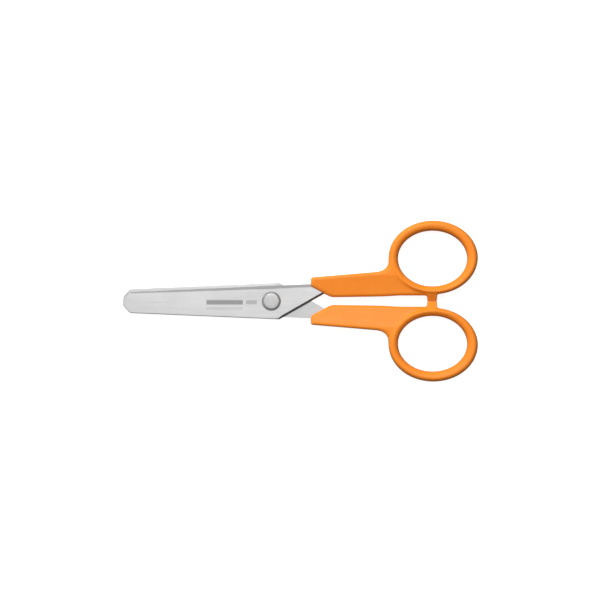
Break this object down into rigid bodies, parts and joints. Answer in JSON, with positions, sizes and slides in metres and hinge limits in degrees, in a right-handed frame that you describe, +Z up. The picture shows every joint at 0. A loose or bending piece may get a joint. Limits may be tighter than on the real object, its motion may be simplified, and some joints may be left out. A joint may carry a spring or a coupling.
{
  "type": "craft scissors",
  "caption": "Short blunt-nosed craft scissors with straight stainless blades, a riveted pivot and moulded plastic finger-ring handles with a closing stop.",
  "frame": {"origin": "middle of the closed scissors' footprint, on the surface they lie on", "axes": "+X from the blade noses to the finger rings, +Y from the lower finger ring to the upper one, +Z up out of the front blade's outer face; the closed blades point along -X"},
  "size_m": [0.13, 0.059, 0.007],
  "materials": {
    "blade_steel": "finely ground and polished",
    "rivet_steel": "smooth, barrel polished",
    "handle_plastic": "orange, semi-gloss as moulded"
  },
  "bodies": {
    "rear_half": {"rear_blade": "blade_steel", "lower_handle": "handle_plastic", "pivot_rivet": "rivet_steel", "rivet_washer": "rivet_steel"},
    "front_half": {"front_blade": "blade_steel", "upper_handle": "handle_plastic"}
  },
  "joints": [
    {"name": "pivot", "type": "hinge", "parent": "rear_half", "child": "front_half", "pos_m": [-0.0107, 0, 0.0035], "axis": [0, 0, 1], "range_deg": [0, 127]}
  ]
}
